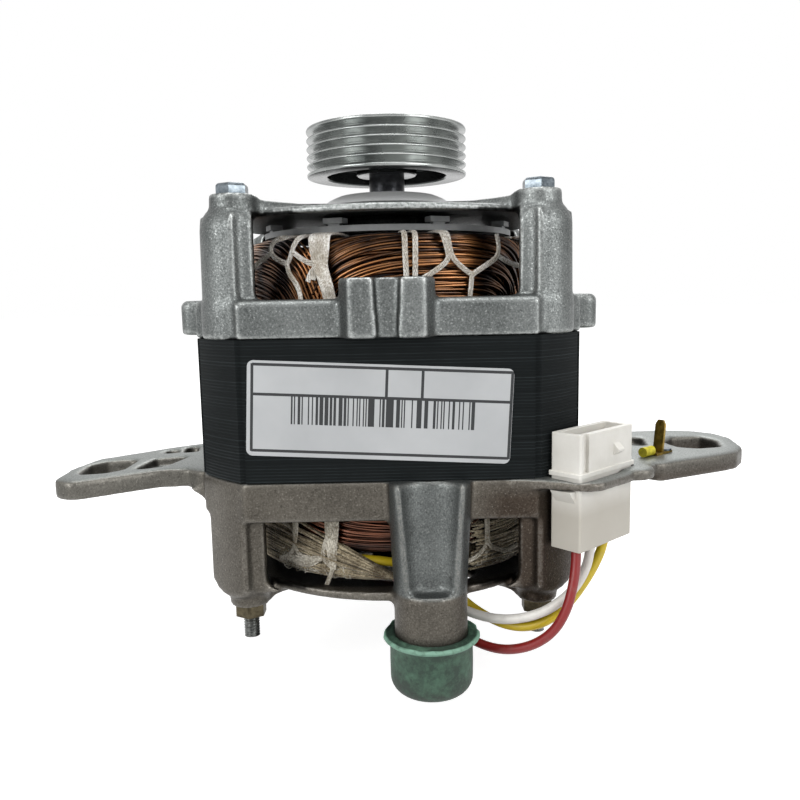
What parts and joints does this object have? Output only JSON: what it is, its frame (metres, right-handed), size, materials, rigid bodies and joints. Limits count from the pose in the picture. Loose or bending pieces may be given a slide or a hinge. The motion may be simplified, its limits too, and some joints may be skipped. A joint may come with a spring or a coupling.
{
  "type": "washing machine motor",
  "caption": "Belt drive washing machine motor with a square laminated stator, two die cast end shields with mounting ears, a ribbed pulley and a rubber capped leg.",
  "frame": {"origin": "on the shaft's axis, in the plane of the mounting ears' underside", "axes": "+Z along the shaft towards the pulley, -Y towards the side with the blank label, +X towards the connector and the long ear"},
  "size_m": [0.1854, 0.105, 0.1431],
  "materials": {
    "die_cast_aluminium": "blasted die casting",
    "painted_laminations": "black lacquer over pressed steel sheets",
    "rotor_laminations": "turned steel sheets",
    "cast_rotor_aluminium": "as cast",
    "slot_film": "translucent polyester film",
    "enamelled_copper": "enamelled winding wire",
    "lacing_cord": "polyester cord",
    "glass_braid_sleeve": "varnished braid",
    "zinc_plated_steel": "zinc plated",
    "bearing_steel": "ground",
    "ball_steel": "polished",
    "seal_rubber": "matt",
    "shaft_steel": "ground",
    "fan_plastic": "moulded",
    "pulley_steel": "turned",
    "green_rubber": "matt",
    "label_film": "blank silver grey film",
    "ivory_plastic": "moulded",
    "contact_brass": "stamped",
    "yellow_sleeve": "soft sleeve",
    "white_lead_skin": "lead insulation",
    "red_lead_skin": "lead insulation",
    "yellow_lead_skin": "lead insulation"
  },
  "bodies": {
    "stator": {"upper_end_shield": "die_cast_aluminium", "lower_end_shield": "die_cast_aluminium", "stator_core": "painted_laminations", "slot_liners": "slot_film", "winding_core": "enamelled_copper", "upper_winding_turns": "enamelled_copper", "lower_winding_turns": "enamelled_copper", "upper_lacing": "lacing_cord", "lower_lacing": "lacing_cord", "lead_joint_sleeve": "glass_braid_sleeve", "through_bolts": "zinc_plated_steel", "lock_nuts": "zinc_plated_steel", "upper_bearing_outer_race": "bearing_steel", "upper_bearing_seals": "seal_rubber", "lower_bearing_outer_race": "bearing_steel", "lower_bearing_seals": "seal_rubber", "preload_washer": "bearing_steel", "bumper_cap": "green_rubber", "blank_label": "label_film", "connector_housing": "ivory_plastic", "connector_terminals": "contact_brass", "earth_tab": "contact_brass", "earth_rivet": "zinc_plated_steel", "earth_sleeve": "yellow_sleeve", "lead_white": "white_lead_skin", "lead_red": "red_lead_skin", "lead_yellow": "yellow_lead_skin"},
    "rotor": {"shaft": "shaft_steel", "rotor_core": "rotor_laminations", "rotor_cage": "cast_rotor_aluminium", "cooling_fan": "fan_plastic", "pulley": "pulley_steel", "upper_bearing_inner_race": "bearing_steel", "lower_bearing_inner_race": "bearing_steel"},
    "upper_ball_set": {"upper_bearing_balls": "ball_steel", "upper_ball_cage": "zinc_plated_steel"},
    "lower_ball_set": {"lower_bearing_balls": "ball_steel", "lower_ball_cage": "zinc_plated_steel"}
  },
  "joints": [
    {"name": "rotor_spin", "type": "hinge", "parent": "stator", "child": "rotor", "pos_m": [0, 0, 0], "axis": [0, 0, 1], "continuous": true},
    {"name": "upper_ball_orbit", "type": "hinge", "parent": "stator", "child": "upper_ball_set", "pos_m": [0, 0, 0.0675], "axis": [0, 0, 1], "continuous": true},
    {"name": "lower_ball_orbit", "type": "hinge", "parent": "stator", "child": "lower_ball_set", "pos_m": [0, 0, -0.029], "axis": [0, 0, 1], "continuous": true}
  ],
  "couplings": [
    {"joint": "upper_ball_orbit", "follows": "rotor_spin", "ratio": 0.38095},
    {"joint": "lower_ball_orbit", "follows": "rotor_spin", "ratio": 0.38095}
  ]
}
